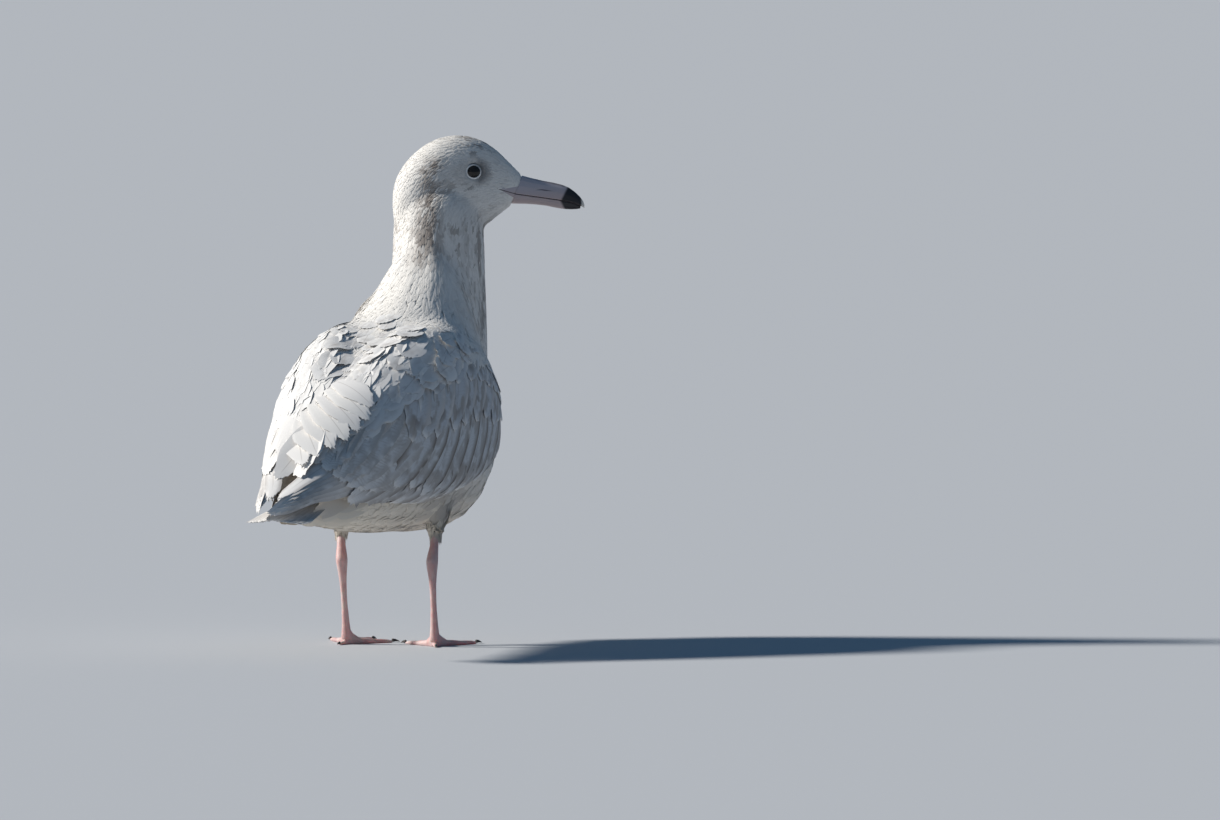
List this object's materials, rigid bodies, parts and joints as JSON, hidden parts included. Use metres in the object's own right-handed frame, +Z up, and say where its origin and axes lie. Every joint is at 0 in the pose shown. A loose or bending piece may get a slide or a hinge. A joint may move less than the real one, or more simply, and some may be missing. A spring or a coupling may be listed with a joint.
{
  "type": "seagull",
  "caption": "Life-size model of a young pale gull standing on both feet with its head turned to its right.",
  "frame": {"origin": "under the middle of the bird's box, at the level of its soles", "axes": "+Z up; the body faces -Y and its left side is +X; the head is turned to the bird's right"},
  "size_m": [0.2038, 0.4362, 0.4429],
  "materials": {
    "feathers": "soft feathers",
    "flight_feathers": "smooth feathers",
    "bill": "satin horn",
    "leg_skin": "scaly skin",
    "claw": "horn",
    "eye": "wet"
  },
  "bodies": {
    "root": {"head": "feathers", "neck": "feathers", "trunk": "feathers", "tail": "flight_feathers", "bill_upper": "bill", "bill_lower": "bill", "eye_left": "eye", "eye_right": "eye", "wing_left": "flight_feathers", "wing_right": "flight_feathers", "primaries_left": "flight_feathers", "primaries_right": "flight_feathers", "thigh_left": "feathers", "thigh_right": "feathers", "leg_left": "leg_skin", "leg_right": "leg_skin", "foot_left": "leg_skin", "foot_right": "leg_skin", "claw_left_inner": "claw", "claw_left_middle": "claw", "claw_left_outer": "claw", "claw_left_hind": "claw", "claw_right_inner": "claw", "claw_right_middle": "claw", "claw_right_outer": "claw", "claw_right_hind": "claw"}
  },
  "joints": []
}
